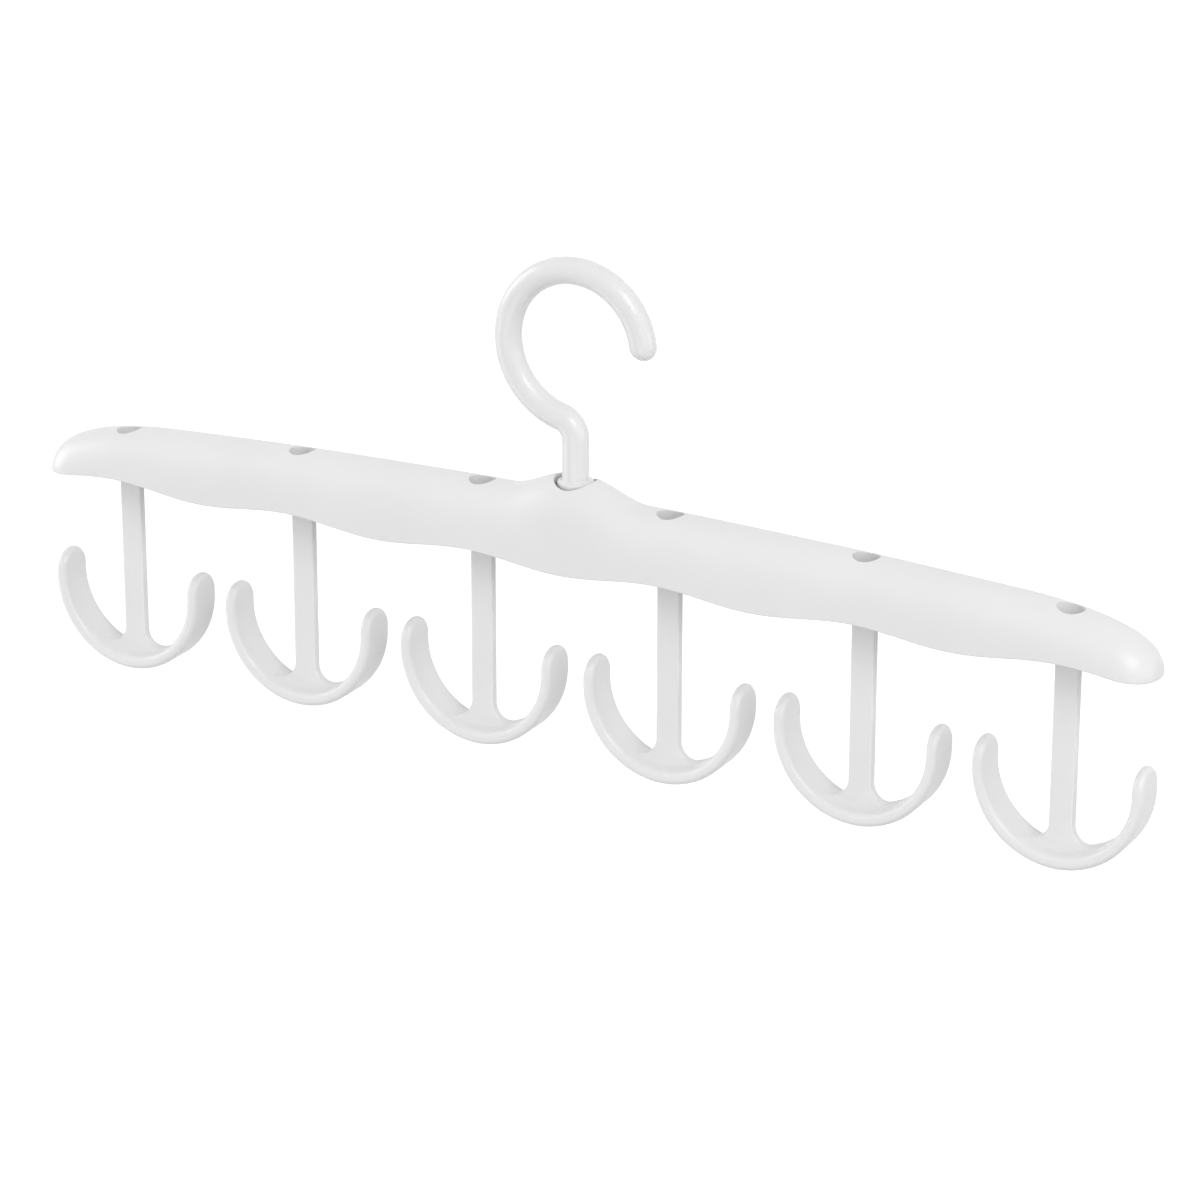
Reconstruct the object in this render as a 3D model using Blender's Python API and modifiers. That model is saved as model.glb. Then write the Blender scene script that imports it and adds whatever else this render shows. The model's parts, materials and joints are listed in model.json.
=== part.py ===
"""Tank top hanger: a hollow moulded bar with a swivel hook above it, and six double anchor hooks that turn
below it."""

from math import atan2, ceil, cos, hypot, pi, sin, sqrt

import bmesh
import bpy

# All lengths are in metres. X runs along the bar, Y to the back and Z up.
# The origin is where the closet rod touches the inside of the swivel hook's ring.

# Swivel hook
rod_diameter = 0.0083
ring_radius = 0.0231        # centreline of the ring, over the top
ring_lower_radius = 0.0238  # centreline of its lower quarter, which opens out a little
ring_end_height = 0.0031    # end of the ring above its centre
ring_end_share = 0.92       # how much of a quarter turn the rounding of that end takes
bend_radius = 0.0065        # centreline of the bend from the shank into the ring
ring_height = 0.06975       # ring's centre above the bar's lower edge
collar_diameter = 0.0112
collar_fillet = 0.0008
collar_chamfer = 0.0004
collar_recess = 0.0015      # collar's top below the crown of the boss
spigot_diameter = 0.007
hook_head_diameter = 0.0094
hook_head_height = 0.0036
hook_head_chamfer = 0.0012
hook_slot_width = 0.002
hook_slot_depth = 0.0062

# Bar
end_overhang = 0.0285       # bar beyond the outermost stems
bar_depth = 0.0222
bar_height = 0.023          # lower edge to crest, beside the boss
wall = 0.002
roof = 0.0024
crown_drop = 0.0072         # how far the crest falls from the middle to the ends
edge_rise = 0.0003          # how far the lower edge rises from the middle to the ends
scallop_height = 0.0027     # lower edge over a stem, above the lower edge between two stems
nose_length = 0.048
boss_rise = 0.0059          # crown of the round boss above the crest
boss_flat = 0.0026          # radius of its level crown
boss_reach = 0.0234         # radius at which it has faded into the bar
side_power = 3.4            # steepness of the section's sides
boss_side_power = 5.8       # the same beside the boss, which is squarer
nose_side_power = 1.7
nose_power = 2.65           # fullness of the nose, seen from the front
plan_power = 2.15           # fullness of the nose, seen from above

# Inside of the bar
rib_thickness = 0.0014
rib_height = 0.0062         # lower edge of the cross ribs above the bar's lower edge
hub_diameter = 0.0174
hub_web = 0.006
socket_diameter = 0.013
socket_depth = 0.0072       # from the crown of the boss to the collar's seat
socket_lip = 0.0006
post_diameter = 0.0131
post_height = 0.0056        # lower end of a post above the bar's lower edge
post_web = 0.004
well_diameter = 0.0083
well_lip = 0.0004

# Anchor hooks
anchor_count = 6
anchor_gap = 0.0105         # between the arms of two neighbours
anchor_drop = 0.0609        # bar's lower edge above the lowest point of the arms' centreline
arm_radius = 0.0251         # centreline of the arms
arm_end = 0.0082            # straight end of an arm
arm_width = 0.013
arm_thickness = 0.0043      # at the stem
tip_thickness = 0.0035
edge_radius = 0.0018
corner_share = 0.45         # most of a thin section that its rounded corner may take
tip_end_share = 0.24        # width of the very end of a tip
stem_width = 0.0076
stem_thickness = 0.0028
stem_edge_radius = 0.0004
stem_fillet = 0.0055        # at the sides, into the arms
foot_fillet = 0.0036        # at the front and the back, into the arms
foot_corner = 0.0022        # rounding of the foot's corners where it meets the arms
foot_step = 0.0002          # how far above the arms the fillet ends
flange_diameter = 0.0088
flange_thickness = 0.0016
neck_diameter = 0.0052
head_diameter = 0.0073
head_height = 0.0034
head_chamfer = 0.0008
slot_width = 0.0016
slot_depth = 0.0058

# Fits
clearance = 0.0003          # between a moving piece and its seat, at the sides and at the ends
overrun = 0.001             # how far a cutter passes the face it cuts through

# Fineness of the curved surfaces
hole_sides = 20
hub_sides = 24
turned_steps = 16
foot_steps = 5
foot_side_steps = 4
arm_steps = 20
tip_steps = 4
corner_steps = 2
ring_steps = 18
lower_steps = 7
bend_steps = 6
rod_resolution = 5
section_steps = 12
core_section_steps = 8
nose_steps = 5
scallop_steps = 6
core_steps = 8
boss_steps = 5

anchor_pitch = 2 * arm_radius + arm_thickness + anchor_gap
half_length = (anchor_count - 1) * anchor_pitch / 2 + end_overhang
half_depth = bar_depth / 2
boss_top = bar_height + boss_rise
well_floor = post_height + post_web
hub_foot = boss_top - socket_depth - hub_web
bar_level = rod_diameter / 2 - ring_radius - ring_height
weld_distance = stem_edge_radius / 100


def clear_scene():
    for item in list(bpy.data.objects):
        bpy.data.objects.remove(item, do_unlink=True)
    for item in list(bpy.data.collections):
        bpy.data.collections.remove(item)


def new_collection(name):
    collection = bpy.data.collections.new(name)
    bpy.context.scene.collection.children.link(collection)
    return collection


def plastic(name, colour, roughness):
    material = bpy.data.materials.new(name)
    material.use_nodes = True
    shader = material.node_tree.nodes["Principled BSDF"]
    shader.inputs["Base Color"].default_value = (*colour, 1.0)
    shader.inputs["Roughness"].default_value = roughness
    shader.inputs["Metallic"].default_value = 0.0
    material.diffuse_color = (*colour, 1.0)
    return material


def add_object(name, data, collection):
    item = bpy.data.objects.new(name, data)
    collection.objects.link(item)
    return item


def mesh_of(item):
    """The object's evaluated mesh, welded."""
    bpy.context.view_layer.update()
    mesh = bpy.data.meshes.new_from_object(item.evaluated_get(bpy.context.evaluated_depsgraph_get()))
    shape = bmesh.new()
    shape.from_mesh(mesh)
    bmesh.ops.remove_doubles(shape, verts=shape.verts, dist=weld_distance)
    bmesh.ops.recalc_face_normals(shape, faces=shape.faces)
    shape.to_mesh(mesh)
    shape.free()
    return mesh


def replace_by_mesh(item, collection):
    """Turns a curve, or an object with modifiers, into a plain mesh object with the same name and place."""
    mesh = mesh_of(item)
    name, place = item.name, item.matrix_world.copy()
    bpy.data.objects.remove(item)
    item = add_object(name, mesh, collection)
    item.matrix_world = place
    return item


def boolean(item, other, operation):
    modifier = item.modifiers.new(other.name, "BOOLEAN")
    modifier.operation = operation
    modifier.solver = "EXACT"
    modifier.object = other


def cylinder(name, diameter, low, high, sides, collection):
    shape = bmesh.new()
    bmesh.ops.create_cone(shape, cap_ends=True, segments=sides, radius1=diameter / 2, radius2=diameter / 2,
                          depth=high - low)
    mesh = bpy.data.meshes.new(name)
    shape.to_mesh(mesh)
    shape.free()
    item = add_object(name, mesh, collection)
    item.location.z = (low + high) / 2
    return item


def fuse(item, other, operation, collection):
    """Applies a Boolean with another object, and removes that object."""
    boolean(item, other, operation)
    item = replace_by_mesh(item, collection)
    bpy.data.objects.remove(other)
    return item


def loft(name, rings, collection, triangles=False):
    """A closed solid through rings of equally many points. Rings that shrink to a point or a line are welded.
    Triangles stay flat through a long row of Booleans."""
    shape = bmesh.new()
    rows = [[shape.verts.new(point) for point in ring] for ring in rings]
    count = len(rows[0])
    for low, high in zip(rows, rows[1:]):
        for k in range(count):
            after = (k + 1) % count
            shape.faces.new((low[k], low[after], high[after], high[k]))
    for row in (rows[0], rows[-1]):
        shape.faces.new(row)
    bmesh.ops.remove_doubles(shape, verts=shape.verts, dist=weld_distance)
    bmesh.ops.dissolve_degenerate(shape, edges=shape.edges, dist=weld_distance)
    if triangles:
        bmesh.ops.triangulate(shape, faces=shape.faces)
    bmesh.ops.recalc_face_normals(shape, faces=shape.faces)
    mesh = bpy.data.meshes.new(name)
    shape.to_mesh(mesh)
    shape.free()
    return add_object(name, mesh, collection)


def turned(name, profile, steps, collection):
    """A solid of revolution about Z. The profile starts and ends on the axis and runs from top to bottom."""
    mesh = bpy.data.meshes.new(name)
    edges = [(k, k + 1) for k in range(len(profile) - 1)]
    mesh.from_pydata([(radius, 0, z) for radius, z in profile], edges, [])
    item = add_object(name, mesh, collection)
    screw = item.modifiers.new("Screw", "SCREW")
    screw.steps = steps
    screw.render_steps = steps
    screw.use_merge_vertices = True
    screw.merge_threshold = weld_distance
    return item


def box(name, low, high, collection):
    shape = bmesh.new()
    bmesh.ops.create_cube(shape, size=1.0)
    for vertex in shape.verts:
        for axis in range(3):
            middle = (low[axis] + high[axis]) / 2
            vertex.co[axis] = middle + vertex.co[axis] * (high[axis] - low[axis])
    mesh = bpy.data.meshes.new(name)
    shape.to_mesh(mesh)
    shape.free()
    return add_object(name, mesh, collection)


def finish(item, material):
    item.data.materials.clear()
    item.data.materials.append(material)
    item.data.shade_smooth()
    item.data.set_sharp_from_angle(angle=pi / 6)


def make_cutter(item):
    item.hide_render = True
    item.display_type = "WIRE"


def anchor_places():
    return [(k - (anchor_count - 1) / 2) * anchor_pitch for k in range(anchor_count)]


# The bar's form: its lower edge, its crest, its half depth and its sections

def smooth_fall(value, start, end):
    """One up to the start, zero from the end, and a smooth fall between."""
    t = min(max((value - start) / (end - start), 0), 1)
    return 1 - t * t * (3 - 2 * t)


def edge_height(x):
    """The lower edge swings up over each stem and down between two stems."""
    swing = (1 + cos(2 * pi * (x / anchor_pitch - (anchor_count - 1) / 2))) / 2
    return edge_rise * (x / half_length) ** 2 + scallop_height * swing


def boss_share(x, y=0):
    return smooth_fall(hypot(x, y), boss_flat, boss_reach)


def nose_share(x, end):
    """The section's height at x, as a share of its full height: it falls to zero in a round nose."""
    t = min(max((abs(x) - end + nose_length) / nose_length, 0), 1)
    return (1 - t ** nose_power) ** (1 / nose_power)


def depth_at(x, end, depth):
    """Half the depth at x: straight, with round ends."""
    t = min(max((abs(x) - end + depth) / depth, 0), 1)
    return depth * (1 - t ** plan_power) ** (1 / plan_power)


def crest_height(x, y, rise):
    """The height that the arch would have at a point if its sides didn't fall."""
    return bar_height + rise * boss_share(x, y) - crown_drop * (x / half_length) ** 2


def side_power_at(x, end):
    """The arch is round at its crest, and its sides grow steeper with this power."""
    nose = 1 - smooth_fall(abs(x), end - nose_length, end)
    power = side_power + (boss_side_power - side_power) * boss_share(x)
    return power + (nose_side_power - side_power) * nose


def section(x, end, depth, rise, lowered, foot, steps):
    """The arch at x, from the front of its foot over the crest to the back, as (y, z)."""
    half = depth_at(x, end, depth)
    power = side_power_at(x, end)
    points = []
    for k in range(steps + 1):
        angle = pi * k / steps
        y = -half * cos(angle)
        height = (crest_height(x, y, rise) - lowered - foot) * nose_share(x, end)
        share = sin(angle) ** (2 / power) if k < steps else 0
        points.append((y, foot + height * share))
    return points


def surface_height(x, y):
    """The height of the bar's outer surface over a point."""
    foot = edge_height(x)
    height = (crest_height(x, y, boss_rise) - foot) * nose_share(x, half_length)
    across = y / depth_at(x, half_length, half_depth)
    return foot + height * max(1 - across * across, 0) ** (1 / side_power_at(x, half_length))


def both_ways(places, end, depth):
    """Mirrors places that start at zero, after adding closer ones round the nose."""
    start = end - depth
    places = places + [start + depth * sin(pi / 2 * k / nose_steps) for k in range(nose_steps + 1)]
    return [-x for x in reversed(places[1:])] + places


def shell_solid(collection):
    """The outside of the bar, filled down to its scalloped edge."""
    start = half_length - half_depth
    count = ceil((start - boss_reach) * scallop_steps / anchor_pitch)
    places = [boss_reach * k / boss_steps for k in range(boss_steps)]
    places += [boss_reach + (start - boss_reach) * k / count for k in range(count)]
    rings = []
    for x in both_ways(places, half_length, half_depth):
        arch = section(x, half_length, half_depth, boss_rise, 0, edge_height(x), section_steps)
        rings.append([(x, y, z) for y, z in arch])
    return loft("bar", rings, collection)


def core_solid(collection):
    """The hollow of the bar, down past its edge."""
    end, depth = half_length - wall, half_depth - wall
    places = [(end - depth) * k / core_steps for k in range(core_steps)]
    rings = []
    for x in both_ways(places, end, depth):
        half = depth_at(x, end, depth)
        arch = section(x, end, depth, 0, roof, 0, core_section_steps)
        rings.append([(x, -half, -overrun)] + [(x, y, z) for y, z in arch] + [(x, half, -overrun)])
    return loft("core", rings, collection, triangles=True)


def hole_cutter(name, x, levels, lip, top, sides, collection):
    """A stepped round hole at x. Its mouth is chamfered evenly where it breaks through the arched surface."""
    def ring(radius, height):
        points = []
        for k in range(sides):
            angle = 2 * pi * k / sides
            px, py = x + radius * cos(angle), radius * sin(angle)
            points.append((px, py, height(px, py)))
        return points

    rings = []
    for radius, level in levels:
        rings.append(ring(radius, lambda px, py, level=level: level))
    mouth = levels[-1][0]
    rings.append(ring(mouth, lambda px, py: surface_height(px, py) - lip))
    rings.append(ring(mouth + 2 * lip, lambda px, py: surface_height(px, py) + lip))
    rings.append(ring(mouth + 2 * lip, lambda px, py: top))
    return loft(name, rings, collection)


def build_bar(parts, cutters):
    bar = shell_solid(parts)
    core = core_solid(cutters)
    ceiling = boss_top + overrun

    # What the core leaves standing inside the bar
    hub = cylinder("hub", hub_diameter, hub_foot, ceiling, hub_sides, cutters)
    core = fuse(core, hub, "DIFFERENCE", cutters)
    for x in anchor_places():
        post = cylinder("post", post_diameter, post_height, ceiling, hole_sides, cutters)
        post.location.x = x
        core = fuse(core, post, "DIFFERENCE", cutters)
    for k in range(1, anchor_count * 2):
        x = (k - anchor_count) * anchor_pitch / 2
        if x == 0:
            continue
        rib = box("rib", (x - rib_thickness / 2, -half_depth, rib_height),
                  (x + rib_thickness / 2, half_depth, ceiling), cutters)
        core = fuse(core, rib, "DIFFERENCE", cutters)

    # The stepped holes for the collar of the hook and for the heads of the anchor hooks
    holes = [core]
    socket_floor = boss_top - socket_depth
    spigot_hole = spigot_diameter / 2 + clearance
    levels = (
        (spigot_hole, hub_foot - overrun), (spigot_hole, socket_floor), (socket_diameter / 2, socket_floor),
    )
    holes.append(hole_cutter("socket", 0, levels, socket_lip, ceiling, hub_sides, cutters))
    neck_hole = neck_diameter / 2 + clearance
    levels = ((neck_hole, post_height - overrun), (neck_hole, well_floor), (well_diameter / 2, well_floor))
    for k, x in enumerate(anchor_places()):
        holes.append(hole_cutter(f"well_{k + 1}", x, levels, well_lip, ceiling, hole_sides, cutters))
    for cutter in holes:
        make_cutter(cutter)
        boolean(bar, cutter, "DIFFERENCE")
    return bar


def split_end(item, height, depth, width, reach, collection):
    """Saws a slot into the snap end, down or up from the given height."""
    low, high = sorted((height, height + depth))
    slot = box("slot", (-reach, -width / 2, low), (reach, width / 2, high), collection)
    return fuse(item, slot, "DIFFERENCE", collection)


def build_hook(parts, cutters):
    centre = rod_diameter / 2 - ring_radius
    collar_top = bar_level + boss_top - collar_recess
    collar_foot = bar_level + boss_top - socket_depth + clearance
    web_foot = bar_level + hub_foot
    head_top = web_foot - clearance
    head_foot = head_top - hook_head_height

    # The rod's centreline: shank, bend to the left, then round over the top to the tip
    lower_x = ring_lower_radius - ring_radius
    across = lower_x + bend_radius
    bend_level = centre - sqrt((ring_lower_radius + bend_radius) ** 2 - across ** 2)
    bend_end = atan2(centre - bend_level, across)
    line = [(0, collar_foot, 1), (0, bend_level, 1)]
    for k in range(1, bend_steps + 1):
        angle = bend_end * k / bend_steps
        line.append((-bend_radius + bend_radius * cos(angle), bend_level + bend_radius * sin(angle), 1))
    for k in range(1, lower_steps + 1):
        angle = pi + bend_end * (1 - k / lower_steps)
        line.append((lower_x + ring_lower_radius * cos(angle), centre + ring_lower_radius * sin(angle), 1))
    end_angle = atan2(ring_end_height, sqrt(ring_radius ** 2 - ring_end_height ** 2))
    for k in range(1, ring_steps + 1):
        angle = pi + (end_angle - pi) * k / ring_steps
        line.append((ring_radius * cos(angle), centre + ring_radius * sin(angle), 1))
    for k in range(1, tip_steps + 1):
        turn = pi / 2 * ring_end_share * k / tip_steps
        angle = end_angle - rod_diameter / 2 * sin(turn) / ring_radius
        line.append((ring_radius * cos(angle), centre + ring_radius * sin(angle), cos(turn)))

    curve = bpy.data.curves.new("swivel_hook", "CURVE")
    curve.dimensions = "3D"
    curve.bevel_depth = rod_diameter / 2
    curve.bevel_resolution = rod_resolution
    curve.use_fill_caps = True
    spline = curve.splines.new("POLY")
    spline.points.add(len(line) - 1)
    for point, (x, z, radius) in zip(spline.points, line):
        point.co = (x, 0, z, 1)
        point.radius = radius
    hook = replace_by_mesh(add_object("swivel_hook", curve, parts), parts)

    rod, collar = rod_diameter / 2, collar_diameter / 2
    spigot, head = spigot_diameter / 2, hook_head_diameter / 2
    profile = [(0, collar_top + collar_fillet), (rod - clearance, collar_top + collar_fillet)]
    for k in range(corner_steps * 2 + 1):
        angle = pi / 2 * k / (corner_steps * 2)
        out, down = collar_fillet * (1 - cos(angle)), collar_fillet * sin(angle)
        profile.append((rod + out, collar_top + collar_fillet - down))
    profile += [
        (collar - collar_chamfer, collar_top), (collar, collar_top - collar_chamfer),
        (collar, collar_foot), (spigot, collar_foot), (spigot, head_top), (head, head_top),
        (head, head_foot + hook_head_chamfer), (head - hook_head_chamfer, head_foot), (0, head_foot),
    ]
    hook = fuse(hook, turned("shank", profile, hub_sides, cutters), "UNION", parts)
    saw_depth = hook_slot_depth + overrun
    return split_end(hook, head_foot - overrun, saw_depth, hook_slot_width, collar_diameter, parts)


def rounded_corners(half_width, half_height, radius, side_steps=1):
    """Points round a rectangle with rounded corners. Its top and its bottom are divided into steps."""
    points = []
    for quarter, (across, up) in enumerate(((1, 1), (-1, 1), (-1, -1), (1, -1))):
        for k in range(corner_steps + 1):
            angle = pi / 2 * (quarter + k / corner_steps)
            points.append((across * (half_width - radius) + radius * cos(angle),
                           up * (half_height - radius) + radius * sin(angle)))
        if across == up:
            side = across * (half_width - radius)
            points += [(side * (1 - 2 * k / side_steps), up * half_height) for k in range(1, side_steps)]
    return points


def arm_rings():
    """Sections of the double arm, from tip to tip. The tips are half round."""
    centre = arm_radius - anchor_drop
    quarter = pi / 2 * arm_radius
    tip_length = arm_width / 2
    tip_start = quarter + arm_end - tip_length
    half = [tip_start * k / (arm_steps / 2) for k in range(arm_steps // 2 + 1)]
    half += [tip_start + tip_length * sin(pi / 2 * k / tip_steps) for k in range(1, tip_steps + 1)]
    rings = []
    for run in [-s for s in reversed(half[1:])] + half:
        angle = min(max(run / arm_radius, -pi / 2), pi / 2)
        beyond = max(abs(run) - quarter, 0)
        x = arm_radius * sin(angle)
        z = centre - arm_radius * cos(angle) + beyond
        thickness = arm_thickness + (tip_thickness - arm_thickness) * abs(run) / half[-1]
        inset = min(max((abs(run) - tip_start) / tip_length, 0), 1)
        width = arm_width * max(sqrt(1 - inset ** 2), tip_end_share)
        if abs(run) == half[-1]:
            thickness -= edge_radius
        corner = min(edge_radius, width * corner_share, thickness * corner_share)
        rings.append([(x + up * sin(angle), across, z - up * cos(angle))
                      for across, up in rounded_corners(width / 2, thickness / 2, corner)])
    return rings


def stem_rings(top):
    """Sections of the stem, from its top down to the foot that flares over the arms, and on into the arms."""
    centre = arm_radius - anchor_drop
    inner = arm_radius - arm_thickness / 2
    side, face = stem_width / 2, stem_thickness / 2
    fillet_x = side + stem_fillet
    fillet_z = centre - sqrt((inner - stem_fillet) ** 2 - fillet_x ** 2)
    touch = pi / 2 + atan2(fillet_x, centre - fillet_z)
    rings = [ring_of(side, face, stem_edge_radius, top, 0)]
    for k in range(foot_steps + 1):
        share = k / foot_steps
        angle = touch * share
        width = fillet_x - stem_fillet * cos(angle)
        sag = share * (inner - sqrt(inner ** 2 - width ** 2))
        level = fillet_z - stem_fillet * sin(angle) + foot_step * share
        above = min(max(level - sag - centre + inner, 0), foot_fillet)
        depth = face + foot_fillet - sqrt(foot_fillet ** 2 - (foot_fillet - above) ** 2)
        corner = stem_edge_radius + (foot_corner - stem_edge_radius) * (depth - face) / foot_fillet
        rings.append(ring_of(width, depth, corner, level, sag))
    rings.append(ring_of(width, depth, corner, level - arm_thickness / 3, sag))
    rings.append(ring_of(side, face, stem_edge_radius, -anchor_drop, 0))
    return rings


def ring_of(width, depth, corner, level, sag):
    """A rounded rectangle, half width by half depth, that sags towards its middle as the arms do below it."""
    points = []
    for x, y in rounded_corners(width, depth, corner, foot_side_steps):
        points.append((x, y, level - sag * (1 - (x / width) ** 2)))
    return points


def build_anchor_mesh(cutters):
    head_foot = well_floor + clearance
    head_top = head_foot + head_height
    flange_top = post_height - clearance
    flange_foot = flange_top - flange_thickness
    anchor = loft("anchor", arm_rings(), cutters)

    stem = loft("stem", stem_rings(flange_foot + flange_thickness / 2), cutters)
    anchor = fuse(anchor, stem, "UNION", cutters)

    flange, neck, head = flange_diameter / 2, neck_diameter / 2, head_diameter / 2
    profile = (
        (0, head_top), (head - head_chamfer, head_top), (head, head_top - head_chamfer), (head, head_foot),
        (neck, head_foot), (neck, flange_top), (flange, flange_top), (flange, flange_foot), (0, flange_foot),
    )
    anchor = fuse(anchor, turned("neck", profile, turned_steps, cutters), "UNION", cutters)
    saw_depth = slot_depth + overrun
    anchor = split_end(anchor, head_top + overrun, -saw_depth, slot_width, flange_diameter, cutters)
    mesh = anchor.data
    bpy.data.objects.remove(anchor)
    return mesh


def main():
    clear_scene()
    parts = new_collection("tank_top_hanger")
    cutters = new_collection("cutters")

    hook = build_hook(parts, cutters)
    finish(hook, plastic("hook_plastic", (0.79, 0.79, 0.785), 0.42))
    bar = build_bar(parts, cutters)
    finish(bar, plastic("bar_plastic", (0.8, 0.8, 0.795), 0.45))
    bar.parent = hook
    bar.location.z = bar_level
    for cutter in cutters.objects:
        cutter.parent = bar

    anchor_mesh = build_anchor_mesh(cutters)
    for k, x in enumerate(anchor_places()):
        name = f"anchor_hook_{k + 1}"
        anchor = add_object(name, anchor_mesh.copy(), parts)
        anchor.parent = bar
        anchor.location.x = x
        finish(anchor, plastic(f"anchor_plastic_{k + 1}", (0.78, 0.78, 0.775), 0.42))
    bpy.data.meshes.remove(anchor_mesh)
    bpy.context.view_layer.update()


main()
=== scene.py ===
"""Looks of the tank top hanger: fine meshes and plastic for its bar, swivel hook and anchor hooks."""

import json
from bisect import bisect_right
from math import asin, atan2, cos, hypot, pi, radians, sin, sqrt

import bmesh
import bpy
from mathutils import Matrix, Vector


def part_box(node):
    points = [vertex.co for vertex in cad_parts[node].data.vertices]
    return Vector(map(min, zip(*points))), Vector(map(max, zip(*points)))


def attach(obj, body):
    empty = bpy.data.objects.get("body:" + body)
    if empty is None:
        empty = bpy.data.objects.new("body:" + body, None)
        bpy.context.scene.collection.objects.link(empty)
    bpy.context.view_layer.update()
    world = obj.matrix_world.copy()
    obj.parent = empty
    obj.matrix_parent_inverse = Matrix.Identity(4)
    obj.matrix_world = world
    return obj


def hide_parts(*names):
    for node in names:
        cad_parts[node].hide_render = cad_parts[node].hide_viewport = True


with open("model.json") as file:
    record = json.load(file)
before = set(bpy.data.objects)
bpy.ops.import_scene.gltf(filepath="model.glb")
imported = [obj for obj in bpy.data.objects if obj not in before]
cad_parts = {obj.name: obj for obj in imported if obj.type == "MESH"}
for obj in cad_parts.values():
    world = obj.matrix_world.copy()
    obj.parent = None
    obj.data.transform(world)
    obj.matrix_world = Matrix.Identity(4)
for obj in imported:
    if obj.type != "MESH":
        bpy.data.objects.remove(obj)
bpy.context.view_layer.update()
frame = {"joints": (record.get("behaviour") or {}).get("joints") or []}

# All lengths are in metres, in the frame of the CAD model: X along the bar, Y to the back and Z up.

# What the frame gives
bar_low, bar_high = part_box("bar")
bar_level = bar_low.z
half_length = bar_high.x
half_depth = bar_high.y
anchor_joints = [joint for joint in frame["joints"] if joint["name"].startswith("anchor_swivel")]
anchor_x = {joint["child"]: joint["pos_m"][0] for joint in anchor_joints}
anchor_places = sorted(anchor_x.values())
anchor_count = len(anchor_places)
anchor_pitch = anchor_places[1] - anchor_places[0]

# Swivel hook. The radii of the ring and of the bend under it are those of the rod's middle line.
rod_diameter = 0.0083
ring_radius = 0.0231
ring_lower_radius = 0.0238
ring_end_height = 0.0031         # above the ring's centre
bend_radius = 0.0065
ring_height = 0.06975            # from the bar's lower edge to the ring's centre
collar_diameter = 0.0112
collar_fillet = 0.0008
collar_rounding = 0.0005
collar_recess = 0.0015
spigot_diameter = 0.007
hook_head_diameter = 0.0094
hook_head_height = 0.0036
hook_head_chamfer = 0.0012
hook_slot_width = 0.002
hook_slot_depth = 0.0062

# Outside of the bar. The powers shape its sections, its noses, and its ends as seen from above.
bar_height = 0.023
crown_drop = 0.0072
edge_rise = 0.0003
scallop_height = 0.0027
nose_length = 0.048
boss_rise = 0.0059
boss_flat = 0.0026
boss_reach = 0.0234
side_power = 3.4
boss_side_power = 5.8
nose_side_power = 1.7
nose_power = 2.65
plan_power = 2.15
rim_rounding = 0.0005
rim_limit = 3                    # at the noses it is at most one part in this many of the section's size

# Inside of the bar
wall = 0.002
roof = 0.0024
rib_thickness = 0.0014
rib_height = 0.0062              # from the bar's lower edge to that of a rib
rib_rounding = 0.0003            # of the ribs, the hub, the posts and the flanges
hub_diameter = 0.0174
hub_web = 0.006
socket_diameter = 0.013
socket_depth = 0.0072
socket_lip = 0.0006
post_diameter = 0.0131
post_height = 0.0056             # from the bar's lower edge to the foot of a post
post_web = 0.004
well_diameter = 0.0083
well_lip = 0.0004
rim_share = 0.84                 # part of a quarter turn by which the rim is rounded inside
lip_share = 0.9                  # the same for the mouth of a hole
cutter_reach = 2                 # how far the cutter of a hole goes past its mouth, in lips
cutter_rise = 0.25               # how high it is there above the surface, in lips

# Anchor hooks
anchor_drop = 0.0609             # from the bar's lower edge down to the arms' middle line
arm_radius = 0.0251
arm_end = 0.0082
arm_width = 0.013
arm_thickness = 0.0043
tip_thickness = 0.0035
edge_radius = 0.0018
corner_share = 0.48              # most of the arm's thickness that the rounding of an edge takes
stem_width = 0.0076
stem_thickness = 0.0028
stem_edge_radius = 0.0005
stem_fillet = 0.0055
foot_fillet = 0.0036
foot_corner = 0.0022
foot_step = 0.00002              # how far the foot's end stays above the arm, as faces mustn't coincide
flange_diameter = 0.0088
flange_thickness = 0.0016
neck_diameter = 0.0052
head_diameter = 0.0073
head_height = 0.0034
head_chamfer = 0.0008
slot_width = 0.0016
slot_depth = 0.0058

clearance = 0.0003               # between pieces that turn in each other
overrun = 0.001                  # how far a cutter goes past a face
weld = 0.000002                  # points that are closer than this become one
least_rounding = weld * 5

# Fineness
hole_sides = 64
rod_sides = 48
turned_sides = 48
arc_steps = 6
small_steps = 3
bar_step = 0.002                 # between two sections along the bar
nose_steps = 26
arch_steps = 56
core_step = 0.004                # between two sections along the hollow
core_arch_steps = 36
dense_steps = 90
ring_steps = 72
lower_steps = 22
bend_steps = 14
tip_steps = 10
arm_steps = 28                   # on each side
arm_end_steps = 16
edge_steps = 8
face_steps = 4
stem_steps = 8
stem_side_steps = (12, 4)        # along its width and along its thickness
foot_steps = 22
corner_steps = 6

# Plastic: each one's grey, roughness, depth of the grain and depth of the waviness
bar_looks = (0.795, 0.34, 0.000008, 0.00003)
hook_looks = (0.785, 0.22, 0.000006, 0.00002)
anchor_looks = (0.805, 0.31, 0.000006, 0.00002)
darkest = 0.985                  # the grey varies between these parts of itself
lightest = 1.01
gloss_spread = 0.03
refraction = 1.49
subsurface = 0.12
subsurface_radius = (0.0016, 0.0015, 0.0014)
colour_noise = (38, 3)           # scale and detail of each noise
gloss_noise = (420, 5)
grain_noise = (3200, 4)
wave_noise = (90, 2)
noise_low = 0.3                  # the range in which a noise mostly lies
noise_high = 0.7
sharp_angle = 34                 # edges that bend by more than this, in degrees, stay sharp
normal_weight = 50

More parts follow.
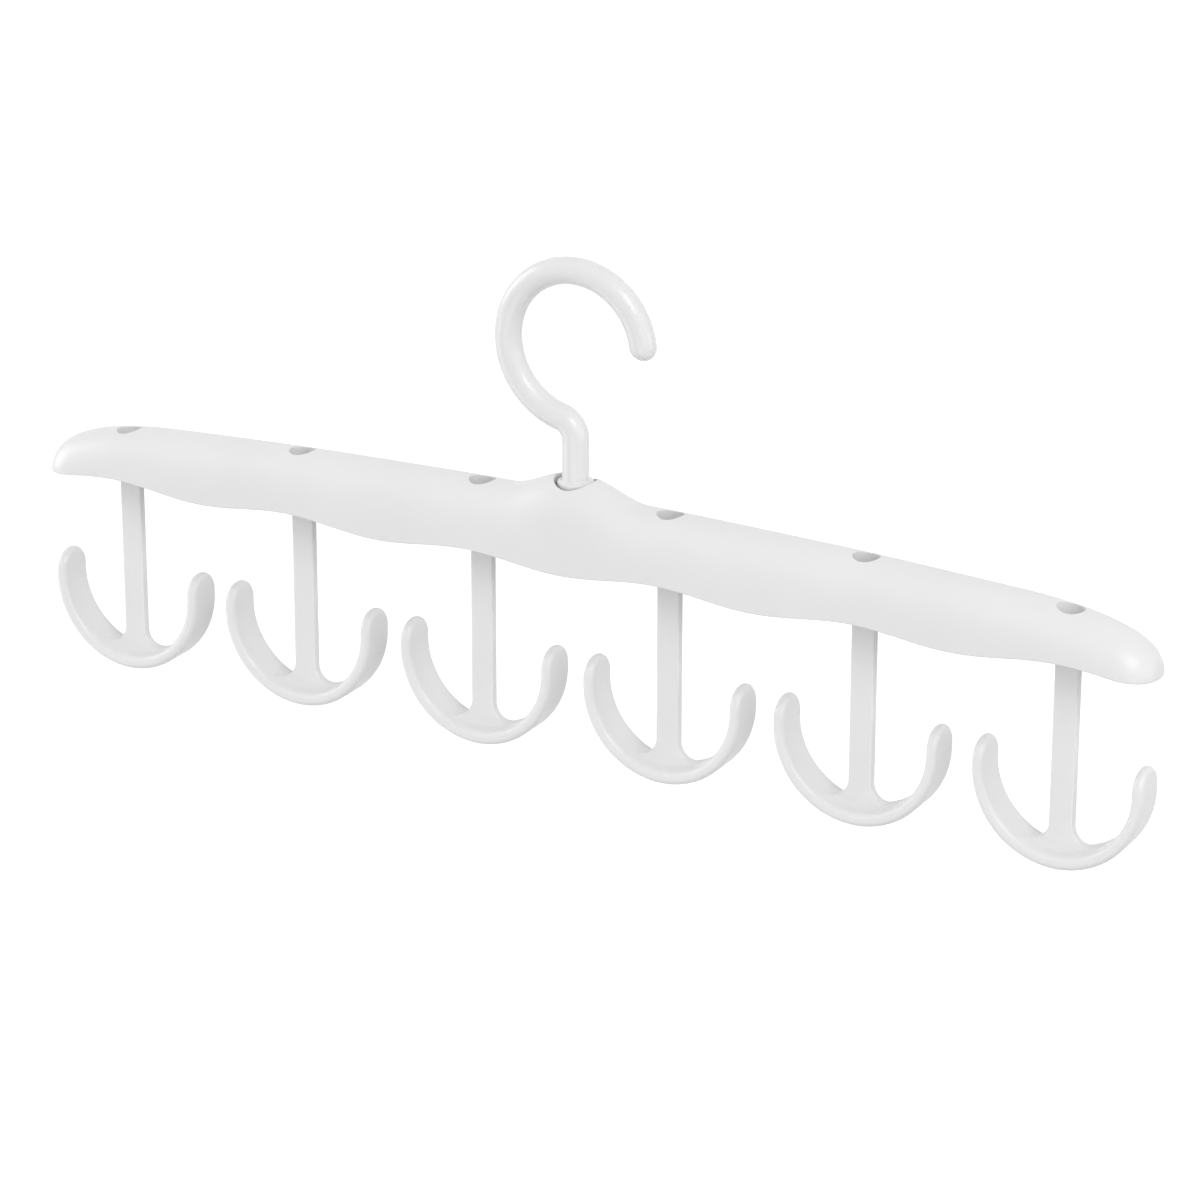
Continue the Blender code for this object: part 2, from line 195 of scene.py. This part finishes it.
# Camera, at the photograph's viewing angle
azimuth = 29.132
elevation = 20.809
roll = -0.0608
lens = 138.25
sensor = 36
aim = Vector((0.00846, 0, -0.09838))
distance = 1.39606
clip_near = distance / 100

# Floor and light
world_light = 0.69
floor_colour = 0.43
floor_level = -2.6
floor_size = 60
floor_lift = 0.9
clip_far = floor_size * 2
lamp_distance = 3.0
lamps = (                        # name, azimuth, elevation, size and power
    ("key", 55, 41, 1.3, 20),
    ("wide", 60, 28, 4.0, 20),
    ("right", 100, 5, 1.0, 6),
    ("left", -82, 13, 2.0, 28),
    ("low", 5, -28, 2.2, 17),
    ("low_left", -62, -25, 2.0, 12),
)

# Heights above the bar's lower edge that several pieces share
boss_top = bar_height + boss_rise
socket_floor = boss_top - socket_depth
hub_foot = boss_top - socket_depth - hub_web
well_floor = post_height + post_web


# Helpers for meshes

def add_object(name, data):
    """Puts a mesh, a lamp or a camera into the scene."""
    item = bpy.data.objects.new(name, data)
    bpy.context.scene.collection.objects.link(item)
    return item


def loft(name, rings):
    """A solid through rings of equally many points. A ring that shrinks to a point or a line is welded."""
    shape = bmesh.new()
    rows = [[shape.verts.new(point) for point in ring] for ring in rings]
    count = len(rows[0])
    for low, high in zip(rows, rows[1:]):
        for k in range(count):
            after = (k + 1) % count
            shape.faces.new((low[k], low[after], high[after], high[k]))
    for row in (rows[0], rows[-1]):
        shape.faces.new(row)
    bmesh.ops.remove_doubles(shape, verts=shape.verts, dist=weld)
    bmesh.ops.dissolve_degenerate(shape, edges=shape.edges, dist=weld)
    bmesh.ops.recalc_face_normals(shape, faces=shape.faces)
    mesh = bpy.data.meshes.new(name)
    shape.to_mesh(mesh)
    shape.free()
    return add_object(name, mesh)


def full_turn(sides):
    """Angles all round."""
    return [2 * pi * k / sides for k in range(sides)]


def quarter_turn(steps):
    """Angles from 0 to a quarter turn."""
    return [pi / 2 * k / steps for k in range(steps + 1)]


def turned(name, profile, x=0):
    """A solid of revolution about a vertical axis at x, from (radius, height) pairs."""
    rings = []
    for radius, z in profile:
        rings.append([(x + radius * cos(angle), radius * sin(angle), z) for angle in full_turn(turned_sides)])
    return loft(name, rings)


def box(name, low, high):
    x0, y0, z0 = low
    x1, y1, z1 = high
    rings = [[(x0, y0, z), (x1, y0, z), (x1, y1, z), (x0, y1, z)] for z in (z0, z1)]
    return loft(name, rings)


def join(name, items):
    """One object of several that don't touch."""
    shape = bmesh.new()
    for item in items:
        shape.from_mesh(item.data)
        bpy.data.objects.remove(item)
    mesh = bpy.data.meshes.new(name)
    shape.to_mesh(mesh)
    shape.free()
    return add_object(name, mesh)


def bow(vert):
    """How far a vertex with two edges lies off the line between its neighbours."""
    start, end = (edge.other_vert(vert).co for edge in vert.link_edges)
    along, away = (end - start).normalized(), vert.co - start
    return (away - along * away.dot(along)).length


def combine(item, other, operation):
    """Applies a Boolean, removes the other object, and clears away what a Boolean leaves behind: doubled
    vertices, faces without an area, and vertices in the middle of a straight edge."""
    modifier = item.modifiers.new("Boolean", "BOOLEAN")
    modifier.operation = operation
    modifier.solver = "EXACT"
    modifier.object = other
    bpy.context.view_layer.update()
    graph = bpy.context.evaluated_depsgraph_get()
    mesh = bpy.data.meshes.new_from_object(item.evaluated_get(graph))
    shape = bmesh.new()
    shape.from_mesh(mesh)
    bmesh.ops.remove_doubles(shape, verts=shape.verts, dist=weld)
    bmesh.ops.dissolve_degenerate(shape, edges=shape.edges, dist=weld)
    surplus = [vert for vert in shape.verts if len(vert.link_edges) == 2 and bow(vert) < weld]
    bmesh.ops.dissolve_verts(shape, verts=surplus)
    shape.to_mesh(mesh)
    shape.free()
    item.modifiers.clear()
    item.data = mesh
    bpy.data.objects.remove(other)
    return item


def even_points(points, count):
    """Spreads count + 1 points evenly along a line of (y, z)."""
    runs = [0]
    for (y0, z0), (y1, z1) in zip(points, points[1:]):
        runs.append(runs[-1] + hypot(y1 - y0, z1 - z0))
    result = []
    for k in range(count + 1):
        run = runs[-1] * k / count
        at = min(max(bisect_right(runs, run) - 1, 0), len(points) - 2)
        span = runs[at + 1] - runs[at]
        share = (run - runs[at]) / span if span > 0 else 0
        (y0, z0), (y1, z1) = points[at], points[at + 1]
        result.append((y0 + (y1 - y0) * share, z0 + (z1 - z0) * share))
    return result


# The bar's form, by the same rules as in the part's source

def smooth_fall(value, start, end):
    """Falls smoothly from 1 at the start to 0 at the end."""
    t = min(max((value - start) / (end - start), 0), 1)
    return 1 - t * t * (3 - 2 * t)


def edge_height(x):
    """How high the scalloped lower edge is."""
    swing = (1 + cos(2 * pi * (x / anchor_pitch - (anchor_count - 1) / 2))) / 2
    return edge_rise * (x / half_length) ** 2 + scallop_height * swing


def boss_share(x, y=0):
    return smooth_fall(hypot(x, y), boss_flat, boss_reach)


def nose_share(x, end):
    t = min(max((abs(x) - end + nose_length) / nose_length, 0), 1)
    return (1 - t ** nose_power) ** (1 / nose_power)


def depth_at(x, end, depth):
    """Half the bar's depth, which runs out round at its ends as seen from above."""
    t = min(max((abs(x) - end + depth) / depth, 0), 1)
    return depth * (1 - t ** plan_power) ** (1 / plan_power)


def crest_height(x, y, rise):
    return bar_height + rise * boss_share(x, y) - crown_drop * (x / half_length) ** 2


def side_power_at(x, end):
    nose = 1 - smooth_fall(abs(x), end - nose_length, end)
    power = side_power + (boss_side_power - side_power) * boss_share(x)
    return power + (nose_side_power - side_power) * nose


def arch(x, end, depth, rise, lowered, foot, start, steps):
    """Points spread evenly over an arch, from its starting height in front to the same height behind."""
    half, power, nose = depth_at(x, end, depth), side_power_at(x, end), nose_share(x, end)
    height = (crest_height(x, half, rise) - lowered - foot) * nose
    share = min(max((start - foot) / height, 0), 1) if height > 0 else 0
    first = asin(share ** (power / 2))
    side = []
    for k in range(dense_steps + 1):
        angle = first + (pi / 2 - first) * (k / dense_steps) ** 2
        y = -half * cos(angle)
        height = (crest_height(x, y, rise) - lowered - foot) * nose
        side.append((y, foot + height * sin(angle) ** (2 / power)))
    line = side + [(-y, z) for y, z in reversed(side[:-1])]
    return even_points(line, steps)


def surface_height(x, y):
    """How high the bar's outside is at a place seen from above."""
    foot = edge_height(x)
    height = (crest_height(x, y, boss_rise) - foot) * nose_share(x, half_length)
    across = y / max(depth_at(x, half_length, half_depth), weld)
    return foot + height * max(1 - across * across, 0) ** (1 / side_power_at(x, half_length))


def run_of_places(end, depth, step):
    """Places along the bar from end to end, closer together round the noses."""
    start = end - depth
    count = round(start / step)
    places = [start * k / count for k in range(count)]
    places += [start + depth * sin(angle) for angle in quarter_turn(nose_steps)]
    return [-x for x in reversed(places[1:])] + places


def shell_solid():
    """The outside of the bar, filled down to its edge, which is rounded outside."""
    rings = []
    for x in run_of_places(half_length, half_depth, bar_step):
        foot = edge_height(x)
        height = (crest_height(x, half_depth, boss_rise) - foot) * nose_share(x, half_length)
        depth = depth_at(x, half_length, half_depth)
        radius = min(rim_rounding, height / rim_limit, depth / rim_limit)
        line = arch(x, half_length, half_depth, boss_rise, 0, foot, foot + radius, arch_steps)
        front = -line[0][0]
        edge = [(-front + radius - radius * cos(angle), foot + radius - radius * sin(angle))
                for angle in [pi / 2 * (1 - k / arc_steps) for k in range(arc_steps)]]
        ring = edge + line + [(-y, z) for y, z in reversed(edge)]
        rings.append([(x, y, z) for y, z in ring])
    return loft("bar", rings)


def core_solid():
    """The hollow of the bar. It flares at the bar's edge, which rounds that edge inside."""
    end, depth = half_length - wall, half_depth - wall
    flare = pi / 2 * rim_share
    rings = []
    for x in run_of_places(end, depth, core_step):
        edge = edge_height(x)
        height = (crest_height(x, 0, 0) - roof) * nose_share(x, end)
        start = min(edge + rim_rounding, height / 2)
        radius = max(min(start - edge, rim_rounding), least_rounding)
        line = arch(x, end, depth, 0, roof, 0, start, core_arch_steps)
        front, start = -line[0][0], line[0][1]
        lip = [(-front - radius + radius * cos(angle), start - radius * sin(angle))
               for angle in [flare * (arc_steps - k) / arc_steps for k in range(arc_steps)]]
        reach, sink = lip[0][0] - radius * sin(flare), lip[0][1] - radius * cos(flare)
        below = [(reach, min(-overrun, sink - overrun)), (reach, sink)] + lip
        ring = below + line + [(-y, z) for y, z in reversed(below)]
        rings.append([(x, y, z) for y, z in ring])
    return loft("core", rings)


def rounded_end(radius, level):
    """The lower end of a turned piece, from its axis to its side."""
    points = [(0, level)]
    for angle in quarter_turn(small_steps):
        points.append((radius - rib_rounding + rib_rounding * sin(angle),
                       level + rib_rounding - rib_rounding * cos(angle)))
    return points


def hole_cutter(name, x, levels, lip, top):
    """A stepped round hole at x. Its mouth is rounded evenly where it breaks through the arched surface."""
    def ring(radius, height):
        points = []
        for angle in full_turn(hole_sides):
            px, py = x + radius * cos(angle), radius * sin(angle)
            points.append((px, py, height(px, py)))
        return points

    rings = [ring(radius, lambda px, py: level) for radius, level in levels]
    mouth = levels[-1][0]
    for k in range(arc_steps + 1):
        angle = pi / 2 * lip_share * k / arc_steps
        rise = -lip + lip * sin(angle)
        rings.append(ring(mouth + lip * (1 - cos(angle)), lambda px, py: surface_height(px, py) + rise))
    reach = mouth + lip * cutter_reach
    rings.append(ring(reach, lambda px, py: surface_height(px, py) + lip * cutter_rise))
    rings.append(ring(reach, lambda px, py: top))
    return loft(name, rings)


def build_bar():
    """The hollow shell with its hub, posts and ribs, and with the socket and the wells in its top. It is
    built with its lower edge at z = 0, and then moved to its level."""
    bar = shell_solid()
    core = core_solid()
    ceiling = boss_top + overrun

    def column(name, radius, level, x):
        return turned(name, rounded_end(radius, level) + [(radius, ceiling), (0, ceiling)], x)

    inside = column("hub", hub_diameter / 2, hub_foot, 0)
    posts = [column("post", post_diameter / 2, post_height, x) for x in anchor_places]
    inside = combine(inside, join("posts", posts), "UNION")
    ribs = []
    for k in range(1, anchor_count * 2):
        x = (k - anchor_count) * anchor_pitch / 2
        if abs(x) < hub_diameter / 2:
            continue
        half = rib_thickness / 2
        outline = [(half, ceiling), (-half, ceiling)]
        outline += [(-half + rib_rounding * (1 - cos(angle)), rib_height + rib_rounding * (1 - sin(angle)))
                    for angle in quarter_turn(small_steps)]
        outline += [(half - rib_rounding * (1 - sin(angle)), rib_height + rib_rounding * (1 - cos(angle)))
                    for angle in quarter_turn(small_steps)]
        ribs.append(loft("rib", [[(x + px, y, pz) for px, pz in outline] for y in (-half_depth, half_depth)]))
    inside = combine(inside, join("ribs", ribs), "UNION")
    core = combine(core, inside, "DIFFERENCE")
    bar = combine(bar, core, "DIFFERENCE")

    hole = spigot_diameter / 2 + clearance
    levels = ((hole, hub_foot - overrun), (hole, socket_floor), (socket_diameter / 2, socket_floor))
    holes = [hole_cutter("socket", 0, levels, socket_lip, ceiling)]
    hole = neck_diameter / 2 + clearance
    levels = ((hole, post_height - overrun), (hole, well_floor), (well_diameter / 2, well_floor))
    holes += [hole_cutter("well", x, levels, well_lip, ceiling) for x in anchor_places]
    bar = combine(bar, join("holes", holes), "DIFFERENCE")
    bar.data.transform(Matrix.Translation((0, 0, bar_level)))
    return bar


def build_hook():
    """One body from the split head through the collar and the shank to the ring's rounded tip."""
    centre = rod_diameter / 2 - ring_radius
    level = centre - ring_height
    collar_top = level + boss_top - collar_recess
    collar_foot = level + socket_floor + clearance
    head_top = level + hub_foot - clearance
    head_foot = head_top - hook_head_height
    rod, collar = rod_diameter / 2, collar_diameter / 2
    spigot, head = spigot_diameter / 2, hook_head_diameter / 2

    profile = [(0, head_foot), (head - hook_head_chamfer, head_foot), (head, head_foot + hook_head_chamfer),
               (head, head_top), (spigot, head_top), (spigot, collar_foot), (collar, collar_foot)]
    for angle in quarter_turn(arc_steps):
        profile.append((collar - collar_rounding * (1 - cos(angle)),
                        collar_top - collar_rounding * (1 - sin(angle))))
    for angle in quarter_turn(arc_steps):
        profile.append((rod + collar_fillet * (1 - sin(angle)),
                        collar_top + collar_fillet * (1 - cos(angle))))

    # Each place on the middle line is (x, z, direction, radius).
    line = [(0, z, pi / 2, radius) for radius, z in profile]
    lower_x = ring_lower_radius - ring_radius
    across = lower_x + bend_radius
    bend_level = centre - sqrt((ring_lower_radius + bend_radius) ** 2 - across ** 2)
    bend_end = atan2(centre - bend_level, across)
    shank_foot = collar_top + collar_fillet
    for k in range(1, bend_steps):
        line.append((0, shank_foot + (bend_level - shank_foot) * k / bend_steps, pi / 2, rod))
    for k in range(bend_steps + 1):
        angle = bend_end * k / bend_steps
        line.append((-bend_radius + bend_radius * cos(angle), bend_level + bend_radius * sin(angle),
                     pi / 2 + angle, rod))
    for k in range(1, lower_steps + 1):
        angle = pi + bend_end * (1 - k / lower_steps)
        line.append((lower_x + ring_lower_radius * cos(angle), centre + ring_lower_radius * sin(angle),
                     angle - pi / 2, rod))
    end_angle = asin(ring_end_height / ring_radius)
    for k in range(1, ring_steps + 1):
        angle = pi + (end_angle - pi) * k / ring_steps
        line.append((ring_radius * cos(angle), centre + ring_radius * sin(angle), angle - pi / 2, rod))
    for turn in quarter_turn(tip_steps)[1:]:
        angle = end_angle - rod * sin(turn) / ring_radius
        line.append((ring_radius * cos(angle), centre + ring_radius * sin(angle), angle - pi / 2,
                     rod * cos(turn)))

    rings = []
    for x, z, direction, radius in line:
        ring = []
        for angle in full_turn(rod_sides):
            out = radius * cos(angle)
            ring.append((x + out * sin(direction), radius * sin(angle), z - out * cos(direction)))
        rings.append(ring)
    hook = loft("swivel_hook", rings)
    slot = box("slot", (-collar_diameter, -hook_slot_width / 2, head_foot - overrun),
               (collar_diameter, hook_slot_width / 2, head_foot + hook_slot_depth))
    return combine(hook, slot, "DIFFERENCE")


def rounded_corners(half_width, half_height, radius):
    """Points round a section of the stem: a rectangle with rounded corners and with divided sides."""
    side, rise = half_width - radius, half_height - radius
    corners = ((side, rise), (-side, rise), (-side, -rise), (side, -rise))
    points = []
    for quarter, (x, y) in enumerate(corners):
        for k in range(corner_steps + 1):
            angle = pi / 2 * (quarter + k / corner_steps)
            points.append((x + radius * cos(angle), y + radius * sin(angle)))
        steps = stem_side_steps[quarter % 2]
        px, py = points[-1]
        nx, ny = corners[(quarter + 1) % 4]
        angle = pi / 2 * (quarter + 1)
        nx, ny = nx + radius * cos(angle), ny + radius * sin(angle)
        points += [(px + (nx - px) * k / steps, py + (ny - py) * k / steps) for k in range(1, steps)]
    return points


def arm_section(beyond, thickness):
    """Half of a section as (across, up): from its edge over the rounding to its middle. Past the start of
    the half round tip the section grows narrower, and the same rounding follows the tip's outline."""
    radius = min(edge_radius, thickness * corner_share)
    reach = arm_width / 2 - beyond
    points = []
    for angle in quarter_turn(edge_steps):
        inward = min(radius, reach) * (1 - cos(angle))
        across = sqrt(max((arm_width / 2 - inward) ** 2 - beyond ** 2, 0))
        up = thickness / 2 - radius + sqrt(max(radius ** 2 - (radius - inward) ** 2, 0))
        points.append((across, up))
    last, up = points[-1]
    points += [(last * (1 - k / face_steps), up) for k in range(1, face_steps + 1)]
    return points


def thickness_at(run):
    """The arm's thickness at a run along its middle line, from the stem. It changes evenly to the tip."""
    whole = pi / 2 * arm_radius + arm_end
    return arm_thickness + (tip_thickness - arm_thickness) * abs(run) / whole


def arm_rings():
    """Sections of the double arm, from tip to tip. The tips are half round."""
    centre = arm_radius - anchor_drop
    quarter = pi / 2 * arm_radius
    tip_start = quarter + arm_end - arm_width / 2
    half = [tip_start * k / arm_steps for k in range(arm_steps + 1)]
    half += [tip_start + arm_width / 2 * sin(angle) for angle in quarter_turn(arm_end_steps)[1:]]
    rings = []
    for run in [-s for s in reversed(half[1:])] + half:
        angle = min(max(run / arm_radius, -pi / 2), pi / 2)
        beyond = max(abs(run) - quarter, 0)
        x = arm_radius * sin(angle)
        z = centre - arm_radius * cos(angle) + beyond
        thickness = thickness_at(run)
        side = arm_section(min(max(abs(run) - tip_start, 0), arm_width / 2), thickness)
        ring = side + [(-across, up) for across, up in reversed(side[:-1])]
        ring += [(across, -up) for across, up in reversed(ring)]
        rings.append([(x + up * sin(angle), across, z - up * cos(angle)) for across, up in ring])
    return rings


def stem_rings(top):
    """Sections of the stem from its top down to its foot, which flares over the arms, and on into them."""
    centre = arm_radius - anchor_drop
    inner = arm_radius - arm_thickness / 2
    side, face = stem_width / 2, stem_thickness / 2
    fillet_x = side + stem_fillet
    fillet_z = centre - sqrt((inner - stem_fillet) ** 2 - fillet_x ** 2)
    touch = pi / 2 + atan2(fillet_x, centre - fillet_z)

    def ring(width, depth, corner, level, share):
        """A section that is flat at a share of 0, and that follows the arms' inner face at 1."""
        points = []
        for x, y in rounded_corners(width, depth, corner):
            sag = sqrt(inner ** 2 - x ** 2) - sqrt(inner ** 2 - width ** 2)
            thinner = (arm_thickness - thickness_at(arm_radius * asin(x / inner))) / 2
            points.append((x, y, level - (sag + thinner - foot_step) * share))
        return points

    rings = [ring(side, face, stem_edge_radius, top + (fillet_z - top) * k / stem_steps, 0)
             for k in range(stem_steps)]
    for k in range(foot_steps + 1):
        share = k / foot_steps
        angle = touch * share
        width = fillet_x - stem_fillet * cos(angle)
        level = fillet_z - stem_fillet * sin(angle)
        middle = level - share * (inner - sqrt(inner ** 2 - width ** 2))
        above = min(max(middle - centre + inner, 0), foot_fillet)
        depth = face + foot_fillet - sqrt(foot_fillet ** 2 - (foot_fillet - above) ** 2)
        corner = stem_edge_radius + (foot_corner - stem_edge_radius) * (depth - face) / foot_fillet
        rings.append(ring(width, depth, corner, level, share))
    sink = arm_thickness / 4
    rings.append(ring(width, depth, corner, level - sink, 1))
    rings.append(ring(side, face, stem_edge_radius, -anchor_drop, 0))
    return rings


def build_anchor():
    """The mesh of an anchor hook whose stem is at x = 0, with z = 0 at the bar's lower edge."""
    head_foot = well_floor + clearance
    head_top = head_foot + head_height
    flange_top = post_height - clearance
    flange_foot = flange_top - flange_thickness
    stem_top = flange_foot + flange_thickness / 2
    anchor = combine(loft("anchor", arm_rings()), loft("stem", stem_rings(stem_top)), "UNION")
    flange, neck, head = flange_diameter / 2, neck_diameter / 2, head_diameter / 2
    profile = rounded_end(flange, flange_foot) + [
        (flange, flange_top), (neck, flange_top), (neck, head_foot), (head, head_foot),
        (head, head_top - head_chamfer), (head - head_chamfer, head_top), (0, head_top),
    ]
    anchor = combine(anchor, turned("neck", profile), "UNION")
    slot = box("slot", (-flange, -slot_width / 2, head_top - slot_depth),
               (flange, slot_width / 2, head_top + overrun))
    anchor = combine(anchor, slot, "DIFFERENCE")
    mesh = anchor.data
    bpy.data.objects.remove(anchor)
    return mesh


# Moulded plastic

def grey(value):
    """A grey as a colour with an alpha of 1."""
    return (value, value, value, 1)


def plastic(name, shade, roughness, grain, waviness):
    """White moulded plastic: a fine grain, a faint waviness, and a little variation in colour and gloss."""
    material = bpy.data.materials.new(name)
    material.use_nodes = True
    nodes, links = material.node_tree.nodes, material.node_tree.links
    shader = nodes["Principled BSDF"]
    shader.inputs["IOR"].default_value = refraction
    shader.inputs["Subsurface Weight"].default_value = subsurface
    shader.inputs["Subsurface Radius"].default_value = subsurface_radius
    shader.inputs["Subsurface Scale"].default_value = 1
    place = nodes.new("ShaderNodeTexCoord")

    def noise(scale, detail):
        node = nodes.new("ShaderNodeTexNoise")
        node.inputs["Scale"].default_value = scale
        node.inputs["Detail"].default_value = detail
        links.new(place.outputs["Object"], node.inputs["Vector"])
        return node.outputs["Fac"]

    def spread(source, low, high):
        """Brings a noise into the range from low to high."""
        node = nodes.new("ShaderNodeMapRange")
        node.inputs["From Min"].default_value = noise_low
        node.inputs["From Max"].default_value = noise_high
        node.inputs["To Min"].default_value = low
        node.inputs["To Max"].default_value = high
        links.new(source, node.inputs["Value"])
        return node.outputs["Result"]

    def bump(source, depth):
        node = nodes.new("ShaderNodeBump")
        node.inputs["Strength"].default_value = 1
        node.inputs["Distance"].default_value = depth
        links.new(source, node.inputs["Height"])
        return node

    tint = nodes.new("ShaderNodeMix")
    tint.data_type = "RGBA"
    tint.inputs["A"].default_value = grey(shade * darkest)
    tint.inputs["B"].default_value = grey(shade * lightest)
    links.new(spread(noise(*colour_noise), 0, 1), tint.inputs["Factor"])
    links.new(tint.outputs["Result"], shader.inputs["Base Color"])

    gloss = spread(noise(*gloss_noise), roughness - gloss_spread, roughness + gloss_spread)
    links.new(gloss, shader.inputs["Roughness"])

    fine = bump(noise(*grain_noise), grain)
    wave = bump(noise(*wave_noise), waviness)
    links.new(wave.outputs["Normal"], fine.inputs["Normal"])
    links.new(fine.outputs["Normal"], shader.inputs["Normal"])
    return material


def dress(item, material, body, slot, *nodes):
    """Gives a piece its material and smooth shading, hangs it on the empty of its body, and hides the CAD
    parts that it stands in for.
    """
    item.data.materials.clear()
    item.data.materials.append(material)
    item.data.shade_smooth()
    item.data.set_sharp_from_angle(angle=radians(sharp_angle))
    weighted = item.modifiers.new("Weighted normals", "WEIGHTED_NORMAL")
    weighted.keep_sharp = True
    weighted.weight = normal_weight
    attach(item, body)
    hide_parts(*nodes)


bar_plastic = plastic("bar_plastic", *bar_looks)
hook_plastic = plastic("hook_plastic", *hook_looks)
anchor_plastic = plastic("anchor_plastic", *anchor_looks)

hook = build_hook()
hook.name = "swivel_hook_fine"
dress(hook, hook_plastic, "swivel_hook", "hook_plastic", "swivel_hook")
bar = build_bar()
bar.name = "bar_fine"
dress(bar, bar_plastic, "bar", "bar_plastic", "bar")
anchor_mesh = build_anchor()
for name, x in anchor_x.items():
    mesh = anchor_mesh.copy()
    mesh.transform(Matrix.Translation((x, 0, bar_level)))
    dress(add_object(name + "_fine", mesh), anchor_plastic, name, "anchor_plastic", name)
bpy.data.meshes.remove(anchor_mesh)


# World, floor, lamps and camera

def white_seen(tree, shader, light, seen):
    """Gives a shader the strength seen for the camera and in reflections, and light for all other rays."""
    nodes, links = tree.nodes, tree.links
    path = nodes.new("ShaderNodeLightPath")
    looked_at = path.outputs["Is Camera Ray"]
    for kind in ("Is Glossy Ray", "Is Transmission Ray"):
        either = nodes.new("ShaderNodeMath")
        either.operation = "MAXIMUM"
        links.new(looked_at, either.inputs[0])
        links.new(path.outputs[kind], either.inputs[1])
        looked_at = either.outputs[0]
    strength = nodes.new("ShaderNodeMapRange")
    strength.inputs["To Min"].default_value = light
    strength.inputs["To Max"].default_value = seen
    links.new(looked_at, strength.inputs["Value"])
    links.new(strength.outputs["Result"], shader.inputs["Strength"])


scene = bpy.context.scene
world = bpy.data.worlds.new("studio")
scene.world = world
world.use_nodes = True
background = world.node_tree.nodes["Background"]
background.inputs["Color"].default_value = grey(1)
white_seen(world.node_tree, background, world_light, 1)

floor_mesh = bpy.data.meshes.new("floor")
shape = bmesh.new()
bmesh.ops.create_grid(shape, x_segments=1, y_segments=1, size=floor_size / 2)
shape.to_mesh(floor_mesh)
shape.free()
floor = add_object("floor", floor_mesh)
floor.location.z = floor_level
floor_material = bpy.data.materials.new("floor")
floor_material.use_nodes = True
tree = floor_material.node_tree
tree.nodes.clear()
matt = tree.nodes.new("ShaderNodeBsdfDiffuse")
matt.inputs["Color"].default_value = grey(floor_colour)
glow = tree.nodes.new("ShaderNodeEmission")
glow.inputs["Color"].default_value = grey(1)
white_seen(tree, glow, 0, floor_lift)
both = tree.nodes.new("ShaderNodeAddShader")
output = tree.nodes.new("ShaderNodeOutputMaterial")
tree.links.new(matt.outputs[0], both.inputs[0])
tree.links.new(glow.outputs[0], both.inputs[1])
tree.links.new(both.outputs[0], output.inputs["Surface"])
floor.data.materials.append(floor_material)


def direction_from(azimuth, elevation):
    """The direction in which a place lies from the object, with azimuth 0 straight in front of it."""
    a, e = radians(azimuth), radians(elevation)
    return Vector((sin(a) * cos(e), -cos(a) * cos(e), sin(e)))


def soft_box(name, azimuth, elevation, size, power):
    """A round lamp that shines on the object."""
    lamp = bpy.data.lights.new(name, "AREA")
    lamp.shape = "DISK"
    lamp.size = size
    lamp.energy = power
    item = add_object(name, lamp)
    towards = direction_from(azimuth, elevation)
    item.location = aim + towards * lamp_distance
    item.rotation_mode = "QUATERNION"
    item.rotation_quaternion = towards.to_track_quat("Z", "Y")


for lamp in lamps:
    soft_box(*lamp)

camera = add_object("camera", bpy.data.cameras.new("camera"))
camera.data.lens = lens
camera.data.sensor_width = sensor
camera.data.clip_start = clip_near
camera.data.clip_end = clip_far
towards = direction_from(azimuth, elevation)
camera.location = aim + towards * distance
camera.rotation_mode = "QUATERNION"
tilt = Matrix.Rotation(radians(-roll), 3, "Z").to_quaternion()
camera.rotation_quaternion = (-towards).to_track_quat("-Z", "Y") @ tilt
scene.camera = camera
scene.view_settings.view_transform = "Standard"
